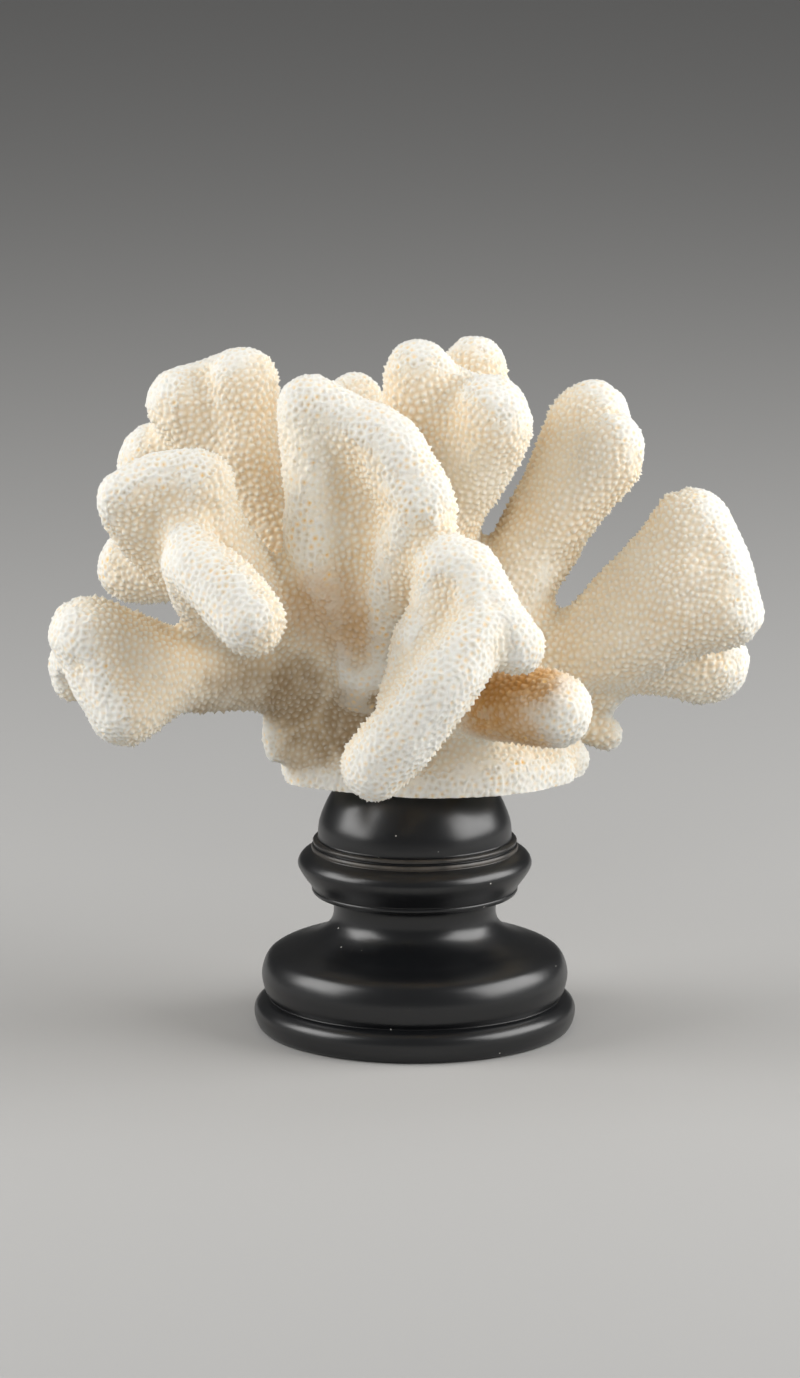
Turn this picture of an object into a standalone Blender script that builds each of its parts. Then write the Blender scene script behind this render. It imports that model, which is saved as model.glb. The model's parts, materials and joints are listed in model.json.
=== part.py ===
"""A white branching coral, resting by its sawn-off foot on a small black turned stand.

The coral is grown here as chains of balls that follow its branches. They are fused into one skin,
softened, made lumpy and cut flat at the foot. Each branch is then taken out of that one solid by a
loose mould of its own shape, so that a thin saw gap is left at each main fork. The stand is one
lathe-turned solid.

Metres, +Z up, +X to the viewer's right, +Y away from the viewer. The origin is the middle of the
stand's underside.
"""

import math

import bmesh
import bpy
from mathutils import Matrix, Vector, noise

MM = 0.001

# Driving dimensions, in millimetres
STAND_HEIGHT = 60.1
FIT_GAP = 0.3
FOOT_LEVEL = STAND_HEIGHT + FIT_GAP
SAW_WIDTH = 0.5
LUMP_HEIGHT = 0.55
LUMP_SPACING = 9.0
SMALL_LUMPS_SHARE = 0.45
SMALL_LUMPS_RATE = 2.3

# How finely the coral's skin and the moulds are made, in millimetres, rounds and triangles
BALL_SPACING = 1.8
BALL_SUBDIVISIONS = 3
SKIN_VOXEL = 1.1
SKIN_SOFTENING = 7
CORAL_TRIANGLES = 6600
MOULD_ROOM = 1.8
MOULD_VOXEL = 2.2
MOULD_SOFTENING = 2
MOULD_TRIANGLES = 400
SLIVER_SHARE = 0.56
DOUBLES_GAP = 0.0001
BLOCK_SIDE = 300.0
STAND_SEGMENTS = 48

CORAL_COLOUR = (0.86, 0.80, 0.70)
CORAL_ROUGHNESS = 0.85
LACQUER_COLOUR = (0.012, 0.012, 0.013)
LACQUER_ROUGHNESS = 0.32

# The branches are given as a front view shows them, from this far off and looking down by this much
EYE_DISTANCE = 2000.0
EYE_TILT = math.radians(12.2)
EYE_SIDE = -3.5
EYE_RISE = 81.8
VIEW_CENTRE_RISE = 79.3

# Each branch is a list of chains, and each station of a chain is
# (across, up, depth, radius): as seen from the front, with depth away from the viewer
BRANCHES = {
    "trunk": [
        [(-14, 60, 3, 16), (-14, 72, 4.5, 16), (-9, 86, 2, 16), (3, 92, 5, 15)],
        [(6, 58, 0, 19), (8, 74, 1, 18), (6, 86, 4, 16)],
        [(23, 62, 2, 15), (26, 75, 4, 13), (22, 85, 5, 12)],
        [(-22, 60, -3, 9), (0, 57, -12, 10), (18, 59, -10, 10), (30, 61, -3, 8)],
        [(-22, 62, 4, 10), (0, 66, 12, 12), (22, 66, 12, 11)],
        [(-28, 76, -4, 7), (-32.2, 69, -7, 4.4), (-32.6, 64.8, -8, 3.7)],
        [(33, 66, 4, 6), (38.4, 63, 3, 3.8)],
        [(34, 74, 12, 7), (40, 71, 13, 5), (45, 68.8, 13, 4.7)],
        [(37, 84, 8, 7), (42, 80, 10, 5.5), (45.2, 77.6, 10, 4.4)],
    ],
    "left_arm": [
        [(-23, 84, -1, 11), (-44, 83.5, -14, 10), (-58, 84, -24, 10.3), (-68, 88, -30, 10.3),
         (-76.6, 91.6, -33, 10.3)],
        [(-60, 82, -26, 10), (-66.5, 77, -34, 9.7), (-68.3, 75, -37, 9.5)],
        [(-76.6, 91.6, -33, 10), (-72.5, 83, -35, 9.4), (-68.3, 75, -37, 9.5)],
        [(-77, 88, -26, 7), (-81.8, 85.8, -20, 5.2), (-80.8, 80.6, -18, 5)],
    ],
    "left_paw": [
        [(-18, 90, 0, 12), (-34, 98, -12, 10), (-44, 109, -19, 9.6), (-49.5, 119, -23, 9.2),
         (-51.3, 127.3, -26, 9.3)],
        [(-45, 104, -18, 9), (-55, 109, -21, 8), (-62, 114, -23, 7.2), (-67, 120, -27, 7.2),
         (-69, 124.4, -29, 6.5)],
        [(-51.3, 127.3, -26, 9), (-60, 127.5, -27, 8), (-67.5, 124.6, -29, 7)],
        [(-50, 112, -18, 9.2), (-56, 119, -22, 9), (-61, 124, -24.5, 8)],
        [(-53, 112, -26, 8.5), (-55, 121, -27, 8.6)],
    ],
    "left_finger": [
        [(-40, 96, -20, 9), (-50, 101, -30, 7.8), (-53, 109, -37, 7)],
        [(-53.5, 114, -34, 6), (-51, 108.5, -40, 7.9), (-44.5, 102.3, -46, 8.7), (-38.7, 95.4, -51, 8.8)],
    ],
    "back_left_knob": [
        [(-12, 94, 8, 12), (-30, 100, 18, 9.5), (-46, 107, 27, 8.5), (-66, 108, 35, 9.4)],
    ],
    "upper_left_fan": [
        [(-14, 94, 4, 13), (-30, 110, 9, 11), (-37.5, 124, 13, 10), (-40, 138, 14, 9.4),
         (-40.6, 150.8, 16, 9.6)],
        [(-37.5, 124, 15, 10), (-46, 136, 17, 9.6), (-54.8, 146.4, 17, 9.1)],
        [(-54.8, 146.4, 18, 8.6), (-48, 150, 20, 8), (-40.6, 150.8, 17, 9)],
        [(-37.5, 122, 16, 9), (-48, 124, 21, 9), (-57, 129, 25, 10), (-60, 132.5, 25, 10.6)],
        [(-42, 134, 18, 9.5), (-47, 144, 20, 9)],
    ],
    "centre_fan": [
        [(-12, 82, -8, 9.5), (-14, 92, -12, 8.6), (-18, 101, -15, 8.2), (-23.2, 111, -16.5, 7.8),
         (-23.6, 125, -16, 7.6), (-24.6, 137, -15.5, 8), (-24.6, 145.6, -15, 8.5)],
        [(-24.6, 145.6, -15, 8.3), (-15, 141, -17, 8), (-7.5, 136.8, -20, 8.6), (-2.4, 129.5, -22, 9.2),
         (0.8, 121.5, -24, 9.6), (-1.5, 110, -22, 9.4), (-6, 98, -16, 9.6), (-10, 86, -10, 9.6)],
        [(-15, 138, -14, 8), (-14.5, 126, -12, 9.2), (-13.5, 112, -12.5, 9.8), (-12, 98, -11.5, 9.4),
         (-12, 86, -8, 9.5)],
    ],
    "far_tip": [
        [(-2, 96, 14, 13), (-6, 112, 24, 10), (-10, 128, 36, 8.8), (-13, 141, 46, 8), (-14, 147.2, 50, 7.5)],
        [(-6, 112, 26, 10), (0, 123, 38, 9.5), (3, 131, 47, 9)],
        [(-9, 126, 36, 8), (-4, 132, 44, 7.5), (2, 131, 46, 7.5)],
    ],
    "top_fan": [
        [(2, 92, 6, 14), (3, 108, 6, 11), (1, 126, 6, 9.8), (0, 142, 4, 9), (1.2, 153.3, 4, 9)],
        [(4, 108, 6, 10), (8, 122, 4, 9.2), (14.3, 132.5, 0, 9.6), (18.6, 141, -4, 9.8),
         (17.5, 145.5, -3, 8.6)],
        [(6, 118, 12, 9.5), (10, 136, 18, 9), (13.6, 150, 24, 8.6), (14, 155, 25, 8.2)],
        [(1.2, 153.3, 5, 8), (9, 148, 6, 7.5), (17, 145, 0, 8)],
        [(5, 126, 6, 10), (8, 140, 3.5, 9.8), (9.5, 147, 4, 8.6)],
    ],
    "right_finger": [
        [(17, 88, 6, 12.5), (23.3, 103.4, 9, 10.6), (30, 116.3, 12, 10.6), (35.5, 129, 15, 10),
         (40, 141, 17, 9.6), (42, 143.3, 17, 9.5)],
        [(32, 117, 9, 9), (39.5, 126.5, 8, 9), (45.2, 133, 7, 9), (46.6, 137, 7, 7.8)],
        [(36, 124, 11, 10.2), (42, 134, 12, 10)],
    ],
    "right_paw": [
        [(23, 84.5, 5, 10.5), (38, 89.4, 4, 9.2), (50.5, 100, 3, 10), (58.8, 109.3, 3, 9.8),
         (65.3, 117.4, 3, 10)],
        [(38, 87.4, 4, 10.2), (51, 91.5, 0, 11), (63, 96, -4, 10.3), (73, 97.6, -6, 9.9)],
        [(65.3, 117.4, 3, 9.6), (70.4, 107.5, -2, 9.5), (73, 97.6, -6, 9.6)],
        [(45, 88, 8, 10), (59, 87, 10.5, 10.2), (68.4, 85.8, 13, 10.9)],
        [(52, 97, 1, 10.5), (60, 102.5, -2, 10.5), (66, 105, -3, 10)],
    ],
    "front_hand": [
        [(9, 84, -8, 12), (12.5, 92, -20, 9.6), (11, 99.5, -28, 9), (8.6, 106.3, -33, 10.2)],
        [(11, 105.6, -34, 9.8), (15.5, 99.5, -39, 8.4), (20, 94.5, -43, 7.4), (24.1, 89.2, -44, 7.1)],
        [(10, 104, -34, 9), (15, 95, -43, 8), (12, 88, -49, 8), (6.2, 80.3, -51.5, 8.8), (0, 72, -52, 9),
         (-6, 65, -51, 9), (-9.2, 61.4, -50, 8.8)],
        [(7.2, 101, -35, 9), (5.4, 95.5, -37, 8.4), (2.4, 88.5, -40, 8.8), (0.2, 81.5, -42, 8.2),
         (-1.6, 75, -44, 8)],
        [(13, 90.5, -28, 8.6), (14, 94.5, -36, 7.8)],
    ],
    "front_lower_finger": [
        [(6, 82, -6, 13), (15, 78, -16, 11), (24, 76, -25, 10), (32.8, 74.3, -31, 9.6)],
    ],
    "back_left_lobe": [
        [(-10, 94, 12, 12), (-21, 104, 26, 10), (-31, 114, 38, 9.2), (-38.5, 123.5, 46, 9.4)],
        [(-21, 104, 26, 9.5), (-24, 116, 37, 9), (-25, 124, 44, 8.8)],
        [(-25, 124, 44, 8), (-32, 124, 46, 8), (-38.5, 123.5, 46, 8.4)],
        [(-24, 108, 30, 9), (-31, 119, 41, 8.5)],
    ],
    "back_right_lobe": [
        [(18, 86, 10, 12), (33, 89, 24, 9.5), (46, 93, 36, 9.4), (55, 97, 45, 9.8)],
        [(33, 89, 24, 9.2), (38, 86, 38, 9), (41, 82, 47, 9)],
        [(40, 87, 34, 9), (47, 91, 42, 8.5), (50, 92, 46, 8)],
    ],
    "back_low_left": [
        [(-8, 80, 12, 13), (-17, 82, 26, 10.5), (-26, 84, 38, 9.6), (-31, 82, 44, 9.2)],
        [(-17, 82, 26, 9.5), (-16, 78, 38, 8.6), (-16, 73, 43, 8.4)],
    ],
    "back_centre_lobe": [
        [(2, 86, 14, 13), (6, 93, 30, 11), (5, 100, 44, 10), (3, 104, 50, 9.8)],
        [(6, 93, 30, 10), (16, 90, 42, 9), (21, 86, 48, 9)],
        [(6, 96, 38, 9.5), (12, 95, 44, 8.5), (18, 89, 46, 8)],
    ],
}

# The stand's outline from the underside up: (radius, height)
STAND_PROFILE = [
    (35.6, 0.0), (37.2, 1.2), (38.0, 3.7), (37.3, 5.8), (34.7, 7.6),
    (35.7, 10.0), (36.3, 13.0), (35.4, 16.6), (32.2, 19.3), (26.6, 21.2), (21.4, 24.0),
    (19.3, 27.4), (19.4, 31.2), (20.4, 32.3), (24.0, 33.0), (24.2, 34.4), (26.3, 37.2), (27.7, 40.0),
    (26.4, 42.3), (24.4, 43.4), (24.2, 45.6), (22.9, 46.3), (22.6, 50.2), (20.4, 55.6), (18.6, 59.0),
    (15.5, STAND_HEIGHT),
]


def clear_scene():
    for obj in list(bpy.data.objects):
        bpy.data.objects.remove(obj, do_unlink=True)


def place(across, up, depth):
    """The point seen at (across, up) in the front view, at a depth behind the stand's axis."""
    forward = Vector((0, math.cos(EYE_TILT), -math.sin(EYE_TILT)))
    upward = Vector((0, math.sin(EYE_TILT), math.cos(EYE_TILT)))
    eye = Vector((EYE_SIDE, 0, EYE_RISE)) - forward * EYE_DISTANCE
    sight = forward * EYE_DISTANCE + upward * (up - VIEW_CENTRE_RISE)
    sight.x += across - EYE_SIDE
    return eye + sight * ((depth - eye.y) / sight.y)


def catmull(before, start, end, after, t):
    """A smooth curve's value between start and end, in every coordinate."""
    squared, cubed = t * t, t * t * t
    return tuple(
        b + 0.5 * ((c - a) * t + (2 * a - 5 * b + 4 * c - d) * squared + (3 * b - a - 3 * c + d) * cubed)
        for a, b, c, d in zip(before, start, end, after)
    )


def curve(stations, spacing):
    """(point, radius) pairs along a smooth curve through the stations, about one spacing apart."""
    knots = [(*place(across, up, depth), radius) for across, up, depth, radius in stations]
    pairs = []
    for i in range(len(knots) - 1):
        before, after = knots[max(i - 1, 0)], knots[min(i + 2, len(knots) - 1)]
        length = (Vector(knots[i + 1][:3]) - Vector(knots[i][:3])).length
        steps = max(1, round(length / spacing))
        pairs += [catmull(before, knots[i], knots[i + 1], after, j / steps) for j in range(steps)]
    pairs.append(knots[-1])
    return [(Vector(pair[:3]), pair[3]) for pair in pairs]


def new_object(name, mesh):
    obj = bpy.data.objects.new(name, mesh)
    bpy.context.scene.collection.objects.link(obj)
    return obj


def mesh_from(bm, name):
    mesh = bpy.data.meshes.new(name)
    bm.to_mesh(mesh)
    bm.free()
    return mesh


def settle(obj):
    """Applies the object's modifiers to its mesh."""
    graph = bpy.context.evaluated_depsgraph_get()
    mesh = bpy.data.meshes.new_from_object(obj.evaluated_get(graph))
    obj.modifiers.clear()
    obj.data = mesh
    return obj


def unit_ball():
    """The points and faces of a ball of radius 1."""
    bm = bmesh.new()
    bmesh.ops.create_icosphere(bm, subdivisions=BALL_SUBDIVISIONS, radius=1.0)
    points = [vertex.co.copy() for vertex in bm.verts]
    faces = [[vertex.index for vertex in face.verts] for face in bm.faces]
    bm.free()
    return points, faces


def balls(chains, swell=0.0):
    """The chains as overlapping balls, each swollen by some millimetres."""
    ball, ball_faces = unit_ball()
    points, faces = [], []
    for stations in chains:
        for centre, radius in curve(stations, BALL_SPACING):
            first = len(points)
            points += [(centre + point * (radius + swell)) * MM for point in ball]
            faces += [[first + i for i in face] for face in ball_faces]
    mesh = bpy.data.meshes.new("coral")
    mesh.from_pydata(points, [], faces)
    return new_object("coral", mesh)


def fuse(obj, voxel, rounds):
    """One skin round all the balls, with softened valleys."""
    skin = obj.modifiers.new("skin", "REMESH")
    skin.mode = "VOXEL"
    skin.voxel_size = voxel * MM
    soft = obj.modifiers.new("soft", "SMOOTH")
    soft.factor = 0.5
    soft.iterations = rounds
    return settle(obj)


def add_lumps(mesh):
    """Gentle swellings all over, as the colony grew unevenly."""
    normals = [v.normal.copy() for v in mesh.vertices]
    for v, normal in zip(mesh.vertices, normals):
        where = v.co / (LUMP_SPACING * MM)
        swell = noise.noise(where) + SMALL_LUMPS_SHARE * noise.noise(where * SMALL_LUMPS_RATE)
        v.co += normal * (swell * LUMP_HEIGHT * MM)


def triangles_in(mesh):
    return sum(len(polygon.vertices) - 2 for polygon in mesh.polygons)


def thin_out(obj, triangles):
    """Merges faces, the flattest first, until about this many triangles are left."""
    thin = obj.modifiers.new("thin", "DECIMATE")
    thin.ratio = triangles / triangles_in(obj.data)
    thin.use_collapse_triangulate = True
    return settle(obj)


def combine(obj, cutter, operation):
    """Cuts the object's solid with the cutter's, then drops the cutter."""
    saw = obj.modifiers.new("saw", "BOOLEAN")
    saw.operation = operation
    saw.solver = "EXACT"
    saw.object = cutter
    settle(obj)
    bpy.data.objects.remove(cutter, do_unlink=True)


def block_below(level):
    """A block whose top lies at the level."""
    bm = bmesh.new()
    middle = Matrix.Translation((0, 0, (level - BLOCK_SIDE / 2) * MM))
    bmesh.ops.create_cube(bm, size=BLOCK_SIDE * MM, matrix=middle)
    return new_object("block", mesh_from(bm, "block"))


def mould_of(name):
    """A coarse solid that holds one branch with a little room to spare."""
    mould = fuse(balls(BRANCHES[name], MOULD_ROOM), MOULD_VOXEL, MOULD_SOFTENING)
    return thin_out(mould, MOULD_TRIANGLES)


def swollen(obj, distance):
    """A copy of the object, every point pushed outward."""
    copy = new_object(obj.name, obj.data.copy())
    for vertex, normal in zip(copy.data.vertices, [v.normal.copy() for v in obj.data.vertices]):
        vertex.co += normal * (distance * MM)
    return copy


def loose_parts(mesh):
    """The mesh's separate shells, each as its own list of faces."""
    bm = bmesh.new()
    bm.from_mesh(mesh)
    left = set(bm.faces)
    shells = []
    while left:
        shell, edge = set(), [left.pop()]
        while edge:
            face = edge.pop()
            shell.add(face)
            for side in face.edges:
                for other in side.link_faces:
                    if other in left:
                        left.discard(other)
                        edge.append(other)
        shells.append(sorted(face.index for face in shell))
    bm.free()
    return shells


def volume_of(mesh, faces):
    total = 0.0
    for face in faces:
        corners = [mesh.vertices[i].co for i in mesh.polygons[face].vertices]
        for second, third in zip(corners[1:], corners[2:]):
            total += corners[0].dot(second.cross(third)) / 6
    return total


def keep_main_shell(obj):
    """Drops every shell but the one with the most volume."""
    shells = loose_parts(obj.data)
    main = set(max(shells, key=lambda faces: volume_of(obj.data, faces)))
    bm = bmesh.new()
    bm.from_mesh(obj.data)
    gone = [face for face in bm.faces if face.index not in main]
    bmesh.ops.delete(bm, geom=gone, context="FACES")
    bmesh.ops.triangulate(bm, faces=bm.faces[:])
    obj.data = mesh_from(bm, obj.name)


def divide(rest):
    """Saws the coral into its branches, each taken out of what the earlier ones left."""
    for name in BRANCHES:
        piece = new_object(name, rest.data.copy())
        mould = mould_of(name)
        room = swollen(mould, SAW_WIDTH)
        combine(piece, mould, "INTERSECT")
        combine(rest, room, "DIFFERENCE")
        keep_main_shell(piece)
        thin_out(piece, triangles_in(piece.data) * SLIVER_SHARE)
        piece.name = name
        piece.data.name = name
        piece.data.materials.clear()
        piece.data.materials.append(surface("coral_" + name, CORAL_COLOUR, CORAL_ROUGHNESS))
    bpy.data.objects.remove(rest, do_unlink=True)


def turned_stand():
    bm = bmesh.new()
    outline = [bm.verts.new((radius * MM, 0, height * MM)) for radius, height in STAND_PROFILE]
    edges = [bm.edges.new(pair) for pair in zip(outline, outline[1:])]
    bmesh.ops.spin(
        bm,
        geom=outline + edges,
        cent=(0, 0, 0),
        axis=(0, 0, 1),
        angle=math.tau,
        steps=STAND_SEGMENTS,
        use_merge=True,
    )
    bmesh.ops.remove_doubles(bm, verts=bm.verts[:], dist=DOUBLES_GAP * MM)
    rims = [edge for edge in bm.edges if edge.is_boundary]
    bmesh.ops.holes_fill(bm, edges=rims, sides=0)
    bmesh.ops.recalc_face_normals(bm, faces=bm.faces[:])
    return new_object("stand", mesh_from(bm, "stand"))


def surface(name, colour, roughness):
    material = bpy.data.materials.new(name)
    material.diffuse_color = (*colour, 1)
    material.use_nodes = True
    shader = material.node_tree.nodes["Principled BSDF"]
    shader.inputs["Base Color"].default_value = (*colour, 1)
    shader.inputs["Roughness"].default_value = roughness
    return material


def grown_coral():
    """The whole coral as one solid, cut off flat at the foot."""
    every_chain = [chain for chains in BRANCHES.values() for chain in chains]
    coral = fuse(balls(every_chain), SKIN_VOXEL, SKIN_SOFTENING)
    add_lumps(coral.data)
    thin_out(coral, CORAL_TRIANGLES)
    combine(coral, block_below(FOOT_LEVEL), "DIFFERENCE")
    return coral


clear_scene()
divide(grown_coral())
stand = turned_stand()
stand.data.materials.append(surface("black_lacquer", LACQUER_COLOUR, LACQUER_ROUGHNESS))
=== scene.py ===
# %% [markdown]
# # A branching coral on its turned stand
#
# The object is a white coral skeleton with thick, paw-like branches. It rests by its sawn foot on a
# small stand turned from wood and lacquered black. The solids that are loaded first hold the sizes
# and places. This lesson gives them their surface: the coral's cups and spines as real relief, its
# cream, white and orange-brown colours, and the satin black of the lacquer.

# %% Load the solids
import json
import math

import bmesh
import bpy
import numpy as np
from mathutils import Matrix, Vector, kdtree
from mathutils.bvhtree import BVHTree

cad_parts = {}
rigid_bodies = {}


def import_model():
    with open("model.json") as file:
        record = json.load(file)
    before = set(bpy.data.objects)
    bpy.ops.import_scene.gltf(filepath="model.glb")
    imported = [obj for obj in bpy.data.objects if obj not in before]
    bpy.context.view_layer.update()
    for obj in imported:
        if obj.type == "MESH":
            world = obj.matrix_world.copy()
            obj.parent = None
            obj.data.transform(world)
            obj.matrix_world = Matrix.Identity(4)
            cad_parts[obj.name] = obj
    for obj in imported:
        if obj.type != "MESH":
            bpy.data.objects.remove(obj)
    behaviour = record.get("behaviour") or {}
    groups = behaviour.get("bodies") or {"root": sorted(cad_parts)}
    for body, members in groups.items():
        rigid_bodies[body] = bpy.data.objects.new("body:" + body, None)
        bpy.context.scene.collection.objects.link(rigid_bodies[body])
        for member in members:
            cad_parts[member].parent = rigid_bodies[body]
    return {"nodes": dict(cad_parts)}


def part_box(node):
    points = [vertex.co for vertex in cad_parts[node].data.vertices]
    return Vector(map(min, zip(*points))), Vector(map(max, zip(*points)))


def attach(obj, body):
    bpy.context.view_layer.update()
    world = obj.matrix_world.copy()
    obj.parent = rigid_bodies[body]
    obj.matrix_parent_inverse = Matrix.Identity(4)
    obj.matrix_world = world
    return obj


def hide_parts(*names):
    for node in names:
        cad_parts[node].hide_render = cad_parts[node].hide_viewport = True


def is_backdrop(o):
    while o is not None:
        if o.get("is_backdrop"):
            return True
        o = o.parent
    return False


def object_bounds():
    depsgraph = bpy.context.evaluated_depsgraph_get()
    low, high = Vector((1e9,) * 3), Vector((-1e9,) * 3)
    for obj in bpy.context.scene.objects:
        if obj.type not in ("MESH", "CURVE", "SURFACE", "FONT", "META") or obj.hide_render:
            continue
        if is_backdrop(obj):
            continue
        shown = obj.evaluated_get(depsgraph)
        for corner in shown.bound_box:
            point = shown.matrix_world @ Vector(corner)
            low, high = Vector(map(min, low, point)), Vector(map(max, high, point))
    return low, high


for leftover in list(bpy.data.objects):
    bpy.data.objects.remove(leftover, do_unlink=True)
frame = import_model()
cad_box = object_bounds()

MM = 0.001
BODY = "root"
BRANCHES = sorted(set(frame["nodes"]) - {"stand"})
print(len(BRANCHES), "branches and a stand")
for label, corner in zip(("lowest", "highest"), cad_box):
    print(label, "corner at", [round(side / MM, 2) for side in corner], "mm")

# %% [markdown]
# ## The camera and the light
#
# The view looks slightly down on the object from two metres away, through a long lens, so that the
# branches keep their proportions. The camera could be placed by eye, but here its distance, tilt and
# field of view are worked out from named sizes. Shift and depth of field stay off, so every other
# angle can use the same camera.

# %% Aim the camera
VIEW_DISTANCE = 2000 * MM
VIEW_TILT = math.radians(12.2)
VIEW_AIM = Vector((-3.5, 0.0, 81.8)) * MM
VIEW_HEIGHT = 324.9 * MM
SENSOR = 36.0
CLIP_NEAR = 0.05
CLIP_FAR = 100


def aim(obj, place, target):
    """Puts an object at a place and turns its -Z axis to the target."""
    obj.location = place
    obj.rotation_euler = (target - place).to_track_quat("-Z", "Y").to_euler()


def add_camera():
    data = bpy.data.cameras.new("camera")
    data.sensor_width = SENSOR
    data.lens = SENSOR * VIEW_DISTANCE / VIEW_HEIGHT
    data.clip_start = CLIP_NEAR
    data.clip_end = CLIP_FAR
    camera = bpy.data.objects.new("camera", data)
    bpy.context.scene.collection.objects.link(camera)
    back = Vector((0, -math.cos(VIEW_TILT), math.sin(VIEW_TILT)))
    aim(camera, VIEW_AIM + back * VIEW_DISTANCE, VIEW_AIM)
    bpy.context.scene.camera = camera
    return camera


camera = add_camera()
print("lens", round(camera.data.lens, 1), "mm")

# %% [markdown]
# Two soft panels stand to the left and right of the object, somewhat above it. They give the bright
# rims on both sides of every branch and the soft patches on each ring of the stand. A weaker panel
# above and behind lights the tops. A large panel in front fills the hollows between the branches. It
# is kept out of reflections, because its image would turn the black lacquer grey. The grey world
# fills the rest. One sun lamp would be simpler, but its shadows would be hard.

# %% Light the set
PANELS = {
    # name: azimuth and elevation in degrees, distance, width, height in metres, watts, colour
    "left_panel": (-82, 26, 0.9, 0.70, 0.55, 6.3, (1.0, 0.992, 0.98)),
    "right_panel": (84, 26, 0.9, 1.00, 0.60, 9.8, (1.0, 0.992, 0.98)),
    "top_panel": (180, 70, 1.1, 0.9, 0.6, 1.8, (1.0, 0.995, 0.985)),
    "front_panel": (-8, 26, 2.2, 1.9, 1.4, 11.5, (1.0, 0.995, 0.985)),
}
NOT_REFLECTED = ("front_panel",)
WORLD_LIGHT = (0.60, 0.60, 0.60)
WORLD_STRENGTH = 0.28


def add_panel(name, azimuth, elevation, distance, width, height, watts, colour):
    """A soft light at an azimuth round the object: 0 is towards the camera, 90 is to the right."""
    data = bpy.data.lights.new(name, "AREA")
    data.shape = "RECTANGLE"
    data.size = width
    data.size_y = height
    data.energy = watts
    data.color = colour
    panel = bpy.data.objects.new(name, data)
    bpy.context.scene.collection.objects.link(panel)
    turn, rise = math.radians(azimuth), math.radians(elevation)
    way = Vector((math.sin(turn) * math.cos(rise), -math.cos(turn) * math.cos(rise), math.sin(rise)))
    aim(panel, VIEW_AIM + way * distance, VIEW_AIM)
    panel.visible_camera = False
    panel.visible_glossy = name not in NOT_REFLECTED


for name, settings in PANELS.items():
    add_panel(name, *settings)
world = bpy.data.worlds.new("soft_room")
world.use_nodes = True
world.node_tree.nodes["Background"].inputs["Color"].default_value = (*WORLD_LIGHT, 1)
world.node_tree.nodes["Background"].inputs["Strength"].default_value = WORLD_STRENGTH
bpy.context.scene.world = world
bpy.context.scene.view_settings.view_transform = "Standard"
print(len(PANELS), "panels")

# %% [markdown]
# ## A small kit for materials
#
# Every finish below is a formula: so much noise, so much wear, mixed by a mask. Such a formula could
# be wired up by hand in the node editor. Here a small class wraps one socket and turns + - * and **
# into Math nodes, and one method adds any other node. The formulas then read like ordinary sums.

# %% Formulas on sockets


class Wire:
    """A socket that can be used in a sum: an operator on it adds a Math node."""

    def __init__(self, finish, socket):
        self.finish = finish
        self.socket = socket

    def math(self, operation, *values):
        return self.finish.node("ShaderNodeMath", {"operation": operation}, values)

    def __add__(self, other):
        return self.math("ADD", self, other)

    def __sub__(self, other):
        return self.math("SUBTRACT", self, other)

    def __rsub__(self, other):
        return self.math("SUBTRACT", other, self)

    def __mul__(self, other):
        return self.math("MULTIPLY", self, other)

    def __pow__(self, other):
        return self.math("POWER", self, other)

    __radd__ = __add__
    __rmul__ = __mul__

    def clamp(self):
        """The value, held between 0 and 1."""
        return self.finish.node("ShaderNodeClamp", {}, [self])

    def ramp(self, low, high):
        """Rises smoothly from 0 where the value is low to 1 where it is high."""
        settings = {"interpolation_type": "SMOOTHSTEP"}
        inputs = {"Value": self, "From Min": low, "From Max": high}
        return self.finish.node("ShaderNodeMapRange", settings, inputs)

    def between(self, first, last):
        """Goes evenly from first where the value is 0 to last where it is 1."""
        return first + (last - first) * self


print("sums of sockets ready")

# %% Materials that take formulas


class Finish:
    """One material, with its shader, and a way to add nodes to it."""

    def __init__(self, name, **constants):
        self.material = bpy.data.materials.new(name)
        self.material.use_nodes = True
        self.tree = self.material.node_tree
        self.shader = self.tree.nodes["Principled BSDF"]
        self.shade(**constants)

    def feed(self, node, key, value):
        """Sets an input to a constant, or links it to a wire."""
        if isinstance(value, Wire):
            self.tree.links.new(value.socket, node.inputs[key])
        elif isinstance(value, tuple) and node.inputs[key].type == "RGBA":
            node.inputs[key].default_value = (*value, 1)[:4]
        else:
            node.inputs[key].default_value = value

    def node(self, kind, settings, inputs, output=0):
        """Adds a node: its settings first, then its inputs, as a dict or as a list in order."""
        made = self.tree.nodes.new(kind)
        for name, value in settings.items():
            setattr(made, name, value)
        items = inputs.items() if isinstance(inputs, dict) else enumerate(inputs)
        for key, value in items:
            self.feed(made, key, value)
        return Wire(self, made.outputs[output])

    def shade(self, **inputs):
        """Feeds the shader's own inputs, their names written with underscores."""
        for socket, value in inputs.items():
            self.feed(self.shader, socket.replace("_", " "), value)

    def place(self):
        """Object coordinates, in metres."""
        return self.node("ShaderNodeTexCoord", {}, [], "Object")

    def attribute(self, name):
        """A value stored at the mesh's points."""
        return self.node("ShaderNodeAttribute", {"attribute_name": name}, [], "Fac")

    def noise(self, size, detail):
        """Noise whose blotches are about this size in metres, from 0 to 1."""
        inputs = {"Vector": self.place(), "Scale": 1 / size, "Detail": detail}
        return self.node("ShaderNodeTexNoise", {}, inputs, "Fac")

    def mix(self, mask, first, second):
        """The first colour where the mask is 0, the second where it is 1."""
        settings = {"data_type": "RGBA"}
        return self.node("ShaderNodeMix", settings, {0: mask, 6: first, 7: second}, 2)

    def bump(self, height, distance, strength):
        inputs = {"Height": height, "Distance": distance, "Strength": strength}
        return self.node("ShaderNodeBump", {}, inputs)


print("kit ready")

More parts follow.
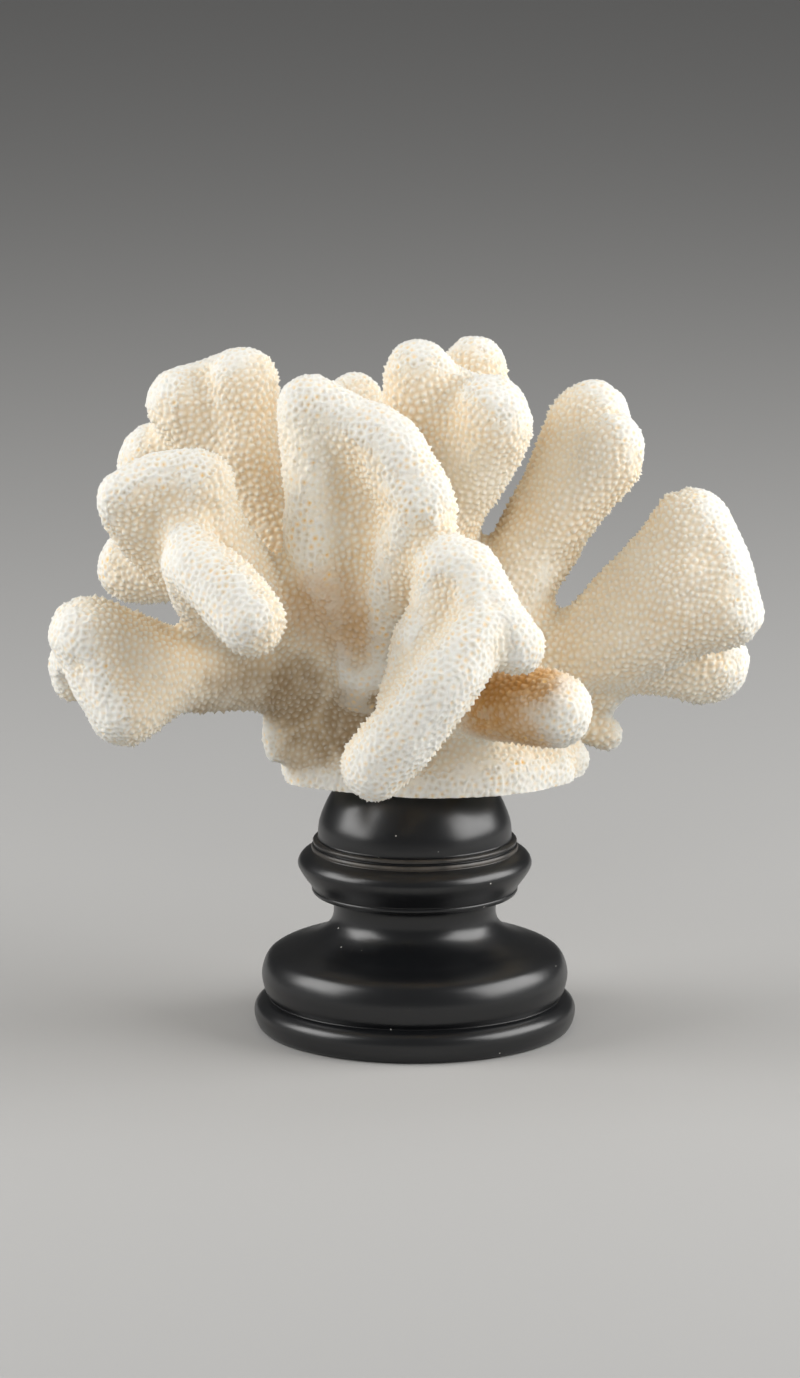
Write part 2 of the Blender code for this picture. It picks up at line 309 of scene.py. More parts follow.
# %% [markdown]
# ## The coral's skin
#
# The loaded branches are parted by thin saw gaps, and their faces are a few millimetres wide. The
# real skeleton is one grown surface. A boolean union would join them only where they touch, and the
# gaps would stay. So copies of the branches are swollen until they touch, fused by a voxel remesh,
# softened, and shrunk back a little below the solids, because the spines that come next stand up
# from this skin to the solids' own surface. The foot is first drawn down a little, so that it can be
# cut level again once the relief is made.

# %% Fuse copies of the branches
FOOT_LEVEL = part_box("trunk")[0].z
FOOT_SLACK = 0.05 * MM
FOOT_SPARE = 3 * MM
SAME_PLACE = 1e-6
CLOSING = 0.7 * MM
SPINE_ROOM = 0.45 * MM
FUSING_VOXEL = 0.9 * MM
FUSING_ROUNDS = 7
SMOOTHING = 0.5


def add_object(name, mesh):
    obj = bpy.data.objects.new(name, mesh)
    bpy.context.scene.collection.objects.link(obj)
    return obj


def settle(obj):
    """Applies the object's modifiers to its mesh."""
    graph = bpy.context.evaluated_depsgraph_get()
    mesh = bpy.data.meshes.new_from_object(obj.evaluated_get(graph))
    obj.modifiers.clear()
    obj.data = mesh


def merged_branches():
    """One mesh with a copy of every branch, its doubled points merged, and each face's branch."""
    gathered = bmesh.new()
    owners = []
    for number, name in enumerate(BRANCHES):
        single = bmesh.new()
        single.from_mesh(frame["nodes"][name].data)
        bmesh.ops.remove_doubles(single, verts=single.verts[:], dist=SAME_PLACE)
        copy = bpy.data.meshes.new("copy")
        single.to_mesh(copy)
        owners += [number] * len(single.faces)
        single.free()
        gathered.from_mesh(copy)
        bpy.data.meshes.remove(copy)
    return gathered, owners


def add_modifier(obj, kind, **settings):
    modifier = obj.modifiers.new(kind.lower(), kind)
    for name, value in settings.items():
        setattr(modifier, name, value)


gathered, face_owner = merged_branches()
branch_tree = BVHTree.FromBMesh(gathered)
foot = [v for v in gathered.verts if v.co.z < FOOT_LEVEL + FOOT_SLACK]
bmesh.ops.translate(gathered, vec=(0, 0, -FOOT_SPARE), verts=foot)
mesh = bpy.data.meshes.new("skin")
gathered.to_mesh(mesh)
gathered.free()
skin = add_object("skin", mesh)
add_modifier(skin, "DISPLACE", strength=CLOSING, mid_level=0.0)
add_modifier(skin, "REMESH", mode="VOXEL", voxel_size=FUSING_VOXEL)
add_modifier(skin, "SMOOTH", factor=SMOOTHING, iterations=FUSING_ROUNDS)
add_modifier(skin, "DISPLACE", strength=-(CLOSING + SPINE_ROOM), mid_level=0.0)
settle(skin)
print("fused skin:", len(skin.data.polygons), "faces")

# %% [markdown]
# Spines one millimetre high need points less than half a millimetre apart. Subdividing would do, but
# it is slow on so many faces and copies the fused mesh's own pattern. A second, finer voxel remesh is
# quicker and spreads its faces evenly. Only the largest shell is kept, in case the fusing closed off
# a small hollow inside.

# %% Remesh the skin finely
SKIN_VOXEL = 0.47 * MM
SKIN_ROUNDS = 3


def keep_largest(obj):
    """Removes every loose part of a mesh but the largest."""
    bpy.context.view_layer.objects.active = obj
    bpy.ops.object.select_all(action="DESELECT")
    obj.select_set(True)
    bpy.ops.object.mode_set(mode="EDIT")
    bpy.ops.mesh.select_all(action="SELECT")
    bpy.ops.mesh.separate(type="LOOSE")
    bpy.ops.object.mode_set(mode="OBJECT")
    parts = sorted(bpy.context.selected_objects, key=lambda part: len(part.data.polygons))
    for part in parts[:-1]:
        bpy.data.objects.remove(part, do_unlink=True)
    return parts[-1], len(parts) - 1


def read(items, field, width, kind=np.float32):
    """One property of all points, edges or faces as an array."""
    values = np.empty(len(items) * width, kind)
    items.foreach_get(field, values)
    return values.reshape(-1, width) if width > 1 else values


skin, dropped = keep_largest(skin)
solid = bmesh.new()
solid.from_mesh(skin.data)
skin_tree = BVHTree.FromBMesh(solid)
solid.free()
add_modifier(skin, "REMESH", mode="VOXEL", voxel_size=SKIN_VOXEL)
add_modifier(skin, "SMOOTH", factor=SMOOTHING, iterations=SKIN_ROUNDS)
settle(skin)
skin, dropped_again = keep_largest(skin)
points = read(skin.data.vertices, "co", 3).astype(float)
normals = read(skin.data.vertex_normals, "vector", 3).astype(float)
edges = read(skin.data.edges, "vertices", 2, np.int32)
edge_length = np.linalg.norm(points[edges[:, 0]] - points[edges[:, 1]], axis=1).mean()
print("fine skin:", len(skin.data.polygons), "faces, edges of", round(edge_length / MM, 3), "mm")
print("loose parts dropped:", dropped, "and", dropped_again)

# %% [markdown]
# ## Where the cups are
#
# Each polyp of the colony sat in a cup of its own, and the cups stand about two millimetres apart in
# a loose honeycomb. A regular grid would look woven. Points thrown at random, none nearer to another
# than a set gap, give the looseness. Moving each point to the middle of the patch nearest to it, a
# few times, evens them out towards a honeycomb, as crowding does in a growing colony.

# %% Spread the cups
CUP_GAP = 1.17 * MM
CUP_CANDIDATES = 140000
EVENING_ROUNDS = 3
rng = np.random.default_rng(7)


def scattered(candidates, gap):
    """Picks candidates in turn, each at least the gap away from those picked before."""
    grid = {}
    kept = []
    cells = np.floor(candidates / gap).astype(int).tolist()
    steps = [(i, j, k) for i in (-1, 0, 1) for j in (-1, 0, 1) for k in (-1, 0, 1)]
    for place, (x, y, z) in zip(candidates.tolist(), cells):
        near = [other for i, j, k in steps for other in grid.get((x + i, y + j, z + k), ())]
        if all(math.dist(place, other) >= gap for other in near):
            grid.setdefault((x, y, z), []).append(place)
            kept.append(place)
    return np.array(kept)


def tree_of(places):
    tree = kdtree.KDTree(len(places))
    for number, place in enumerate(places.tolist()):
        tree.insert(place, number)
    tree.balance()
    return tree


def middles(places, owners, count):
    """The mean place of the points that each owner has."""
    share = np.maximum(np.bincount(owners, minlength=count), 1)
    return np.stack([np.bincount(owners, places[:, axis], count) / share for axis in range(3)], axis=1)


point_tree = tree_of(points)
cups = scattered(points[rng.choice(len(points), CUP_CANDIDATES, replace=False)], CUP_GAP)
for _ in range(EVENING_ROUNDS):
    cup_tree = tree_of(cups)
    nearest = np.array([cup_tree.find(place)[1] for place in points.tolist()])
    cups = middles(points, nearest, len(cups))
cup_point = np.unique([point_tree.find(place)[1] for place in cups.tolist()])
cups = points[cup_point]
cup_tree = tree_of(cups)
print(len(cups), "cups")

# %% [markdown]
# ## How the skin lies round each cup
#
# What a cup looks like depends on where it sits, so four things are measured at each one. The bulge
# says how far the cup stands above the mean place of the cups near it, and the swell says the same
# against a wider round. The third is how far the skin faces away from the root of the colony. The
# last is the way to the edge or tip of the branch. They could be painted on by hand, but measured
# values fit every branch alike.

# %% Measure the skin at each cup
COLONY_ROOT = np.array([0, 5, 85]) * MM
NEAREST_CUPS = 3
NORMAL_ROUNDS = 6
NEAR_ROUNDS = 4
FAR_ROUNDS = 30
CUP_ROUNDS = 2
TINY = 1e-12


def smoothed(values, links, rounds):
    """Each value averaged with those that it is linked to, several times over."""
    first, second = links[:, 0], links[:, 1]
    count = np.bincount(first, minlength=len(values)) + np.bincount(second, minlength=len(values)) + 1
    for _ in range(rounds):
        total = values.copy()
        total += np.bincount(first, values[second], len(values))
        total += np.bincount(second, values[first], len(values))
        values = total / count
    return values


def smoothed_places(places, links, rounds):
    return np.stack([smoothed(places[:, axis], links, rounds) for axis in range(3)], axis=1)


def unit(vectors):
    return vectors / np.maximum(np.linalg.norm(vectors, axis=1, keepdims=True), TINY)


def spread(label, values, scale):
    """Prints how the values of all cups are spread."""
    print(label, np.round(np.percentile(values, (1, 5, 20, 50, 80, 95)) / scale, 2))


even_normals = unit(smoothed_places(normals, edges, NORMAL_ROUNDS))
found = [cup_tree.find_n(place, NEAREST_CUPS) for place in points.tolist()]
ring_cups = np.array([[hit[1] for hit in hits] for hits in found])
ring_gaps = np.array([[hit[2] for hit in hits] for hits in found])
own = ring_cups[:, 0]
touching = np.sort(own[edges], axis=1)
touching = np.unique(touching[touching[:, 0] != touching[:, 1]], axis=0)

cup_normals = even_normals[cup_point]
near = cups - smoothed_places(cups, touching, NEAR_ROUNDS)
far = cups - smoothed_places(cups, touching, FAR_ROUNDS)
cup_bulge = np.sum(cup_normals * near, axis=1)
cup_swell = np.sum(cup_normals * far, axis=1)
rimward = far - cup_normals * cup_swell[:, None]
cup_outward = smoothed(np.sum(cup_normals * unit(cups - COLONY_ROOT), axis=1), touching, CUP_ROUNDS)
spread("bulge", cup_bulge, MM)
spread("swell", cup_swell, MM)
spread("outward", cup_outward, 1)
spread("rimward", np.linalg.norm(rimward, axis=1), MM)

# %% [markdown]
# Where other branches hide the sky, the colours are made darker and browner: painted shade, with
# some dirt. So the colours need to know how open each cup's sky is. An Ambient Occlusion node could
# find that while rendering. Here rays are sent from each cup once, so that the result can be averaged
# from cup to cup and kept in the mesh with the other values.

# %% Look for the sky from each cup
RAYS = 28
RAY_START = 1.6 * MM
RAY_REACH = 45 * MM
WIDEST_RAY = 0.97
FAR_DISCOUNT = 0.5
GOLDEN_ANGLE = math.pi * (3 - math.sqrt(5))


def sky_rays(count):
    """Directions spread over a half sphere, denser towards its top, by the golden angle."""
    rays = []
    for number in range(count):
        radius = math.sqrt((number + 0.5) / count) * WIDEST_RAY
        turn = number * GOLDEN_ANGLE
        height = math.sqrt(1 - radius ** 2)
        rays.append(Vector((radius * math.cos(turn), radius * math.sin(turn), height)))
    return rays


def openness(place, normal, rays):
    """The share of a cup's sky that no coral hides. What lies farther off hides less of it."""
    turn = Vector((0, 0, 1)).rotation_difference(normal).to_matrix()
    start = place + normal * RAY_START
    hidden = 0.0
    for ray in rays:
        distance = skin_tree.ray_cast(start, turn @ ray, RAY_REACH)[3]
        if distance is not None:
            hidden += 1 - FAR_DISCOUNT * distance / RAY_REACH
    return 1 - hidden / len(rays)


rays = sky_rays(RAYS)
cup_open = [openness(Vector(place), Vector(normal), rays) for place, normal in zip(cups, cup_normals)]
cup_open = smoothed(np.array(cup_open), touching, CUP_ROUNDS)
spread("openness", cup_open, 1)

# %% [markdown]
# ## Which cups are pits and which are spines
#
# Down the sides every cup has a hood that stands up as a blunt spine, so the outline of a side is
# toothed. On the bulges that face outward the cups are open pits with walls between them, and at the
# growing tips the pits are shallow, a low honeycomb. The bulge and the way that the skin faces tell
# these places apart. A little random wavering keeps the border between them from being a clean line.

# %% Sort the cups
SORT_SPREAD = 0.10
TIP_OUTWARD = (0.40, 0.92)
TIP_BULGE = (-0.10 * MM, 0.30 * MM)
PIT_OUTWARD = (0.42, 0.62)
PIT_BULGE = (0.0, 0.30 * MM)


def smoothstep(values, low, high):
    share = np.clip((values - low) / (high - low), 0, 1)
    return share * share * (3 - 2 * share)


cup_tip = smoothstep(cup_outward, *TIP_OUTWARD) * smoothstep(cup_bulge, *TIP_BULGE)
wavering = rng.normal(0, SORT_SPREAD, len(cups))
cup_pit = smoothstep(cup_outward + wavering, *PIT_OUTWARD) * smoothstep(cup_bulge, *PIT_BULGE)
print("pits:", round(float(cup_pit.mean()), 2), "of the cups; tips:", round(float(cup_tip.mean()), 2))

# %% [markdown]
# ## The relief
#
# The relief could be thousands of little cones, but they would meet the skin in hard seams. Here the
# skin's own points are moved. First the points round each cup are gathered along the skin towards
# three places: its centre, a ring half-way out, and the border that it shares with its neighbours.

# %% Gather the points into rings
RINGS = np.array([0.0, 0.52, 1.0])
GATHERING = 0.75
LEAST_SHARE = 1e-6

share = 2 * ring_gaps[:, 0] / (ring_gaps[:, 0] + ring_gaps[:, 1])
goal = RINGS[np.abs(share[:, None] - RINGS).argmin(axis=1)]
goal = share + (goal - share) * GATHERING
offset = points - cups[own]
offset -= even_normals * np.sum(offset * even_normals, axis=1, keepdims=True)
points = points + offset * (goal / np.maximum(share, LEAST_SHARE) - 1)[:, None]
share = goal
print("points near the borders between cups:", int((share > RINGS[1:].mean()).sum()), "of", len(points))

# %% [markdown]
# Then each ring is raised or sunk. A spine is highest at its centre, and a pit is deepest there. The
# spines differ in height and are lower in creases. They lean towards the edge or tip of their branch,
# each a little astray. A fine roughness is added everywhere, twice as strong on the pits, and at last
# a light softening takes the sharpness off the spines.

# %% Raise spines and sink pits
SPINE_HEIGHTS = np.array([0.70, 0.16, -0.26]) * MM
PIT_HEIGHTS = np.array([-0.40, 0.02, 0.42]) * MM
TIP_HEIGHTS = np.array([0.10, 0.24, 0.44]) * MM
LEAST_GAP = 0.05 * MM
CREASE_BULGE = (0.25 * MM, 0.80 * MM)
CREASE_SPINE = 0.6
SPINE_SPREAD = (0.75, 1.30)
RIMWARD_LEAN = 0.55
LEAN_EASE = 1 * MM
STRAY_LEAN = 0.12
ROUGHENING = 0.05 * MM
PIT_ROUGHENING = 0.10 * MM
SOFTENING = 0.30


def blended(values):
    """A value of the cups at every point, mixed from the nearest ones."""
    return (values[ring_cups] * nearness).sum(axis=1)


nearness = 1 / np.maximum(ring_gaps, LEAST_GAP) ** 2
nearness /= nearness.sum(axis=1, keepdims=True)
tip_share = blended(cup_tip)
pit_share = cup_pit[own]
crease = smoothstep(-blended(cup_bulge), *CREASE_BULGE)
low, high = SPINE_SPREAD
stature = rng.uniform(low, high, len(cups))[own] * (1 - (1 - CREASE_SPINE) * crease)
spine = SPINE_HEIGHTS[-1] + (np.interp(share, RINGS, SPINE_HEIGHTS) - SPINE_HEIGHTS[-1]) * stature
pit = np.interp(share, RINGS, PIT_HEIGHTS)
pit += (np.interp(share, RINGS, TIP_HEIGHTS) - pit) * tip_share
relief = spine + (pit - spine) * pit_share
relief += rng.normal(0, 1, len(points)) * (ROUGHENING + (PIT_ROUGHENING - ROUGHENING) * pit_share)
sideways = rimward / (np.linalg.norm(rimward, axis=1, keepdims=True) + LEAN_EASE) * RIMWARD_LEAN
sideways += rng.normal(0, STRAY_LEAN, (len(cups), 3))
standing = np.maximum(relief - SPINE_HEIGHTS[-1], 0) * (1 - pit_share)
points = points + even_normals * relief[:, None] + sideways[own] * standing[:, None]
softened = smoothed_places(points, edges, 1)
points += (softened - points) * (SOFTENING * (1 - pit_share))[:, None]
skin.data.vertices.foreach_set("co", points.astype(np.float32).ravel())
skin.data.update()
print("relief from", round(float(relief.min()) / MM, 2), "to", round(float(relief.max()) / MM, 2), "mm")

# %% [markdown]
# The colours will follow the relief, so the mesh keeps what was worked out here as values at its
# points: the mouth of a pit, the gap between spines, how open the sky is, how much of a tip it is,
# whether it lies in a broad valley, and one random value for each cup. Three lists add soft round
# patches: brown, partly stain and partly painted shade, where branches shade the trunk and each
# other; orange-brown painted warm shade in the hollows under the front knuckle and the fan's lower
# edge; and white painted light on faces that should be brighter. These could be painted on the mesh,
# but a listed patch is moved by changing a number.

# %% Keep values for the colours
# Brown patches: partly real stain, partly painted shade on the shaded trunk front and branch roots.
SHADE_AND_STAIN_PATCHES = [
    # x, y, z of the middle and reach in millimetres, strength
    (-44, -19, 85, 18, 0.60),
    (-29, -13, 83, 17, 0.70),
    (-14, -12, 77, 14, 1.00),
    (-25, -9, 69, 12, 0.60),
    (-17, -18, 99, 16, 0.35),
    (-2, -44, 104, 14, 0.22),
]
# Orange-brown painted warm shade, in the hollows under the front knuckle and the fan's lower edge.
WARM_SHADE_PATCHES = [
    (19, -30, 84, 16, 0.90),
    (27, -32, 90, 13, 0.90),
    (17, -31, 80, 12, 0.95),
    (25, -34, 78, 11, 0.75),
    (-21, -22, 106, 13, 0.55),
    (-17, -20, 101, 12, 0.45),
]
# White painted light, on faces that should catch more light.
PAINTED_LIGHT_PATCHES = [
    (-27, -23, 150, 13, 0.8),
    (-27, -22, 137, 12, 0.9),
    (-26, -23, 125, 11, 0.8),
    (-24, -24, 114, 9, 0.5),
    (12, -8, 132, 17, 0.8),
    (33, 3, 133, 17, 0.5),
    (26, 1, 112, 15, 0.6),
    (48, 0, 113, 16, 0.4),
    (44, -5, 98, 18, 0.4),
    (17, -22, 64, 22, 0.6),
    (-20, -20, 61, 14, 0.6),
    (23, -50, 105, 12, 0.6),
]
PATCH_CORE = 0.3
MOUTH_RING = (0.25, 0.75)
GAP_RING = (0.25, 0.72)
VALLEY_SWELL = (0.0, 2.0 * MM)


def patches(listed):
    """How strongly each point lies in one of the listed soft round patches."""
    strongest = np.zeros(len(points))
    for *middle, reach, strength in listed:
        away = np.linalg.norm(points - np.array(middle) * MM, axis=1)
        inside = 1 - smoothstep(away, PATCH_CORE * reach * MM, reach * MM)
        strongest = np.maximum(strongest, strength * inside)
    return strongest


kept_values = {
    "mouth": (1 - smoothstep(share, *MOUTH_RING)) * pit_share,
    "gap": smoothstep(share, *GAP_RING) * (1 - pit_share),
    "open_sky": blended(cup_open),
    "tip": tip_share,
    "valley": smoothstep(-blended(cup_swell), *VALLEY_SWELL),
    "cup_chance": rng.random(len(cups))[own],
    "stained": patches(SHADE_AND_STAIN_PATCHES),
    "rusted": patches(WARM_SHADE_PATCHES),
    "bleached": patches(PAINTED_LIGHT_PATCHES),
}
for name, values in kept_values.items():
    attribute = skin.data.attributes.new(name, "FLOAT", "POINT")
    attribute.data.foreach_set("value", values.astype(np.float32))
    print("kept", name, "with a mean of", round(float(values.mean()), 3))

# %% [markdown]
# ## Part the skin into the branches
#
# Each branch of the solids gets the skin that lies nearest to it. Cutting with planes would leave
# straight lines across the relief. Whole cups go to one branch instead, so the seams run in the
# valleys between cups and don't show.

# %% Give each cup to a branch
VOTING_ROUNDS = 4
OWN_VOTE = 1.5


def branch_of(place):
    face = branch_tree.find_nearest(place)[2]
    return face_owner[face]


def voted(owner, first, second, rounds):
    """Each cup takes the branch that most of its neighbours and itself have."""
    for _ in range(rounds):
        votes = np.zeros((len(owner), len(BRANCHES)))
        np.add.at(votes, (first, owner[second]), 1)
        np.add.at(votes, (second, owner[first]), 1)
        votes[np.arange(len(owner)), owner] += OWN_VOTE
        owner = votes.argmax(axis=1)
    return owner


cup_owner = np.array([branch_of(Vector(place)) for place in cups.tolist()])
cup_owner = voted(cup_owner, touching[:, 0], touching[:, 1], VOTING_ROUNDS)
corners = read(skin.data.loops, "vertex_index", 1, np.int32)
starts = read(skin.data.polygons, "loop_start", 1, np.int32)
face_branch = cup_owner[own[corners[starts]]].astype(np.int32)
for name, count in zip(BRANCHES, np.bincount(cup_owner, minlength=len(BRANCHES))):
    print(name, "has", count, "cups")

# %% [markdown]
# The trunk is cut level at the foot, where the coral was sawn off and rests on the stand. Then every
# piece is closed inside. A flat cap over a winding rim would cross the relief, so a wall first goes
# straight in from the rim, rings run in below the skin, and only then a small cap comes to a point.

# %% Separate and close the pieces
CAP_DEPTH = 0.35
CAP_WALL = 2.2 * MM
CAP_RINGS = (0.0, 0.35, 0.60)
SINKING_ROUNDS = 2


def cut_foot(obj, owner):
    """Cuts the coral level at its foot and closes the cut flat. The new face goes to the owner."""
    solid = bmesh.new()
    solid.from_mesh(obj.data)
    branch = solid.faces.layers.int["branch"]
    everything = solid.verts[:] + solid.edges[:] + solid.faces[:]
    cut = bmesh.ops.bisect_plane(solid, geom=everything, clear_outer=True,
                                 plane_co=(0, 0, FOOT_LEVEL), plane_no=(0, 0, -1))["geom_cut"]
    rim = [item for item in cut if isinstance(item, bmesh.types.BMEdge)]
    for edge in rim:
        edge.smooth = False
    for face in bmesh.ops.holes_fill(solid, edges=rim, sides=0)["faces"]:
        face[branch] = owner
        face.material_index = owner
    solid.to_mesh(obj.data)
    solid.free()


def split_by_material(obj):
    bpy.context.view_layer.objects.active = obj
    bpy.ops.object.select_all(action="DESELECT")
    obj.select_set(True)
    bpy.ops.object.mode_set(mode="EDIT")
    bpy.ops.mesh.select_all(action="SELECT")
    bpy.ops.mesh.separate(type="MATERIAL")
    bpy.ops.object.mode_set(mode="OBJECT")
    return list(bpy.context.selected_objects)


def sunk(place):
    """The place, moved where need be to lie well below the skin and above the foot."""
    for _ in range(SINKING_ROUNDS):
        surface, normal = skin_tree.find_nearest(place)[:2]
        if (surface - place).dot(normal) < CAP_WALL:
            place = surface - normal * CAP_WALL
    place.z = max(place.z, FOOT_LEVEL + CAP_WALL / 2)
    return place


def close_inside(solid):
    """Closes every open rim with a wall straight in, rings below the skin, and a small cap."""
    rim = [edge for edge in solid.edges if edge.is_boundary]
    for edge in rim:
        edge.smooth = False
    caps = bmesh.ops.holes_fill(solid, edges=rim, sides=0)["faces"]
    heart = sum((vert.co for vert in solid.verts), Vector()) / len(solid.verts)
    for cap in caps:
        middle = sunk(cap.calc_center_median().lerp(heart, CAP_DEPTH))
        for step in CAP_RINGS:
            cap = bmesh.ops.extrude_discrete_faces(solid, faces=[cap])["faces"][0]
            for vert in cap.verts:
                vert.co = sunk(vert.co.lerp(middle, step))
        bmesh.ops.poke(solid, faces=[cap])["verts"][0].co = middle


def finish_piece(obj):
    """Closes one branch's piece, names it after the branch and puts it in the solid's stead."""
    name = BRANCHES[obj.data.attributes["branch"].data[0].value]
    obj.name = name + "_coral"
    solid = bmesh.new()
    solid.from_mesh(obj.data)
    close_inside(solid)
    solid.to_mesh(obj.data)
    solid.free()
    obj.data.attributes.remove(obj.data.attributes["branch"])
    obj.data.materials.clear()
    obj.data.shade_smooth()
    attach(obj, BODY)
    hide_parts(name)
    return obj


for _ in BRANCHES:
    skin.data.materials.append(None)
skin.data.polygons.foreach_set("material_index", face_branch)
skin.data.attributes.new("branch", "INT", "FACE").data.foreach_set("value", face_branch)
cut_foot(skin, BRANCHES.index("trunk"))
branch_pieces = [finish_piece(obj) for obj in split_by_material(skin)]
for obj in sorted(branch_pieces, key=lambda item: item.name):
    obj.data.calc_loop_triangles()
    lowest = read(obj.data.vertices, "co", 3)[:, 2].min()
    print(obj.name, len(obj.data.loop_triangles), "triangles, lowest point", round(lowest / MM, 2), "mm")

# %% [markdown]
# ## The coral's colours
#
# The skeleton itself is limestone, nearly white, and whitest at the crests and tips. A flat colour
# with a bump map would do from far away. Here each colour follows the values kept from the relief,
# with noise so that no two cups are alike. A little light goes through the thin walls, so a weak
# subsurface glow takes the hardness off the shadows.
#
# The next cell reads the values and works out two masks of painted shade: shelter, where the sky is
# partly hidden, and hollow, where little of it is left. A pair named RANGE says between which values
# a mask rises. A pair with BY in its name says how strong something is where its mask is 0 and where
# it is 1.

# %% Read the kept values
STAIN_SIZE = 9 * MM
FINE_STAIN_SIZE = 1.8 * MM
SHELTER_RANGE = (0.45, 0.97)
VALLEY_SHELTER = 0.6
HOLLOW_RANGE = (0.20, 0.55)
HOLLOW_AMOUNT = 0.4

coral = Finish("coral_skeleton", Subsurface_Weight=0.30, Subsurface_Scale=0.0010,
               Subsurface_Radius=(1.0, 0.88, 0.72), Specular_IOR_Level=0.25, Roughness=0.86)
stain = coral.noise(STAIN_SIZE, 3.0)
fine_stain = coral.noise(FINE_STAIN_SIZE, 2.0)
mouth, gap, open_sky, tip, valley, chance, stained, rusted, bleached = map(coral.attribute, kept_values)
# clean is the share outside the painted-light patches; there tan and brown are left out.
clean = 1 - bleached
# shelter and hollow are painted shade: they make the colour less white, more tan and browner where the sky
# is hidden.
shelter = (1 - open_sky.ramp(*SHELTER_RANGE) + VALLEY_SHELTER * valley).clamp()
hollow = (1 - open_sky.ramp(*HOLLOW_RANGE)) * HOLLOW_AMOUNT
print("values read:", ", ".join(kept_values))

# %% [markdown]
# The clean colours come first: cream on the sides, white at the tips, tan in the gaps between the
# spines, partly their own tone and partly painted shade, and white again on the spines' heads and on
# the pits. Where the sky is hidden the white is weaker, the tan stronger and the heads less white:
# that is painted shade. One noise texture could speckle the skin in the same colours, but it wouldn't
# meet the relief.

# %% Mix the clean colours
TIP_WHITE = (0.88, 0.87, 0.815)
SIDE_CREAM = (0.90, 0.85, 0.73)
GAP_TAN = (0.82, 0.63, 0.38)
TIP_RANGE = (0.0, 0.9)
WHITE_BY_TIP = (0.15, 1.0)
WHITE_BY_SHELTER = (1.0, 0.4)
TAN_BY_SHELTER = (0.60, 0.90)
TAN_BY_STAIN = (0.30, 1.50)
HEAD_BY_GAP = (0.75, 0.0)

white = tip.ramp(*TIP_RANGE).between(*WHITE_BY_TIP) * shelter.between(*WHITE_BY_SHELTER)
ground = coral.mix(white.clamp(), SIDE_CREAM, TIP_WHITE)
tan = gap * clean * shelter.between(*TAN_BY_SHELTER) * stain.between(*TAN_BY_STAIN)
ground = coral.mix(tan.clamp(), ground, GAP_TAN)
# In the hollows the heads lose their white: painted shade.
head = gap.between(*HEAD_BY_GAP) * (1 - hollow)
ground = coral.mix(head.clamp(), ground, TIP_WHITE)
print("clean colours mixed")

# %% [markdown]
# Over them lie brown blotches in the hollows and in the first listed patches, partly stain and partly
# painted shade, their edges broken up by noise, then orange-brown painted warm shade in its own
# patches, and last tan or orange in the mouths of the pits, in some cups more than in others. Painting
# them cup by cup would take days, so formulas do it. A very fine bump gives the skeleton its dry,
# sugary grain.

# %% Add the stains and the painted shade
SHADE_AND_STAIN_BROWN = (0.33, 0.225, 0.115)
WARM_SHADE_ORANGE = (0.60, 0.33, 0.11)
SHADE_AND_STAIN_BY_NOISE = (-0.45, 0.45)
SHADE_AND_STAIN_RANGE = (0.12, 0.82)
SHADE_AND_STAIN_BY_GAP = (0.50, 0.85)
WARM_SHADE_BY_NOISE = (0.45, 1.05)
WARM_SHADE_IN_GAPS = 0.25

# Brown from the listed patches and the hollow mask: partly stain, partly painted shade.
shade_and_stain_blotch = (stained + hollow * clean + stain.between(*SHADE_AND_STAIN_BY_NOISE)).ramp(*SHADE_AND_STAIN_RANGE)
ground = coral.mix(shade_and_stain_blotch * gap.between(*SHADE_AND_STAIN_BY_GAP), ground, SHADE_AND_STAIN_BROWN)
# Orange-brown painted warm shade in its patches, stronger in the gaps between spines.
warm_shade = rusted * (stain.between(*WARM_SHADE_BY_NOISE) + WARM_SHADE_IN_GAPS * gap)
ground = coral.mix(warm_shade.clamp(), ground, WARM_SHADE_ORANGE)
print("stains added")

# %% Colour the mouths and lay the finish on
MOUTH_TAN = (0.68, 0.56, 0.36)
MOUTH_ORANGE = (0.93, 0.60, 0.16)
ORANGE_RANGE = (0.35, 0.85)
MOUTH_RANGE = (0.30, 0.70)
MOUTH_BY_FINE_STAIN = (0.6, 1.2)
MOUTH_BY_TIP = (1.0, 0.4)
MOUTH_BY_CHANCE = (0.16, 0.36)
GRAIN_SIZE = 0.35 * MM
GRAIN_HEIGHT = 0.05 * MM
GRAIN_STRENGTH = 0.6

mouth_colour = coral.mix(chance.ramp(*ORANGE_RANGE), MOUTH_TAN, MOUTH_ORANGE)
dirt = stain.ramp(*MOUTH_RANGE) * fine_stain.between(*MOUTH_BY_FINE_STAIN) * tip.between(*MOUTH_BY_TIP)
filled = mouth * (chance.between(*MOUTH_BY_CHANCE) + dirt)
ground = coral.mix(filled.clamp(), ground, mouth_colour)
grain = coral.noise(GRAIN_SIZE, 2.0)
coral.shade(Base_Color=ground, Normal=coral.bump(grain, GRAIN_HEIGHT, GRAIN_STRENGTH))
for obj in branch_pieces:
    obj.data.materials.append(coral.material)
print("coral finish on", len(branch_pieces), "pieces")

# %% [markdown]
# ## The stand
#
# The stand is one piece of wood, turned on a lathe. It could be stacked from rings and discs, but one
# profile spun round an axis is what a lathe makes. The loaded solid has the same profile with few
# corners. This one is drawn again with smooth runs between crisp corners, as the turner's gouge and
# the tip of the skew chisel leave them.

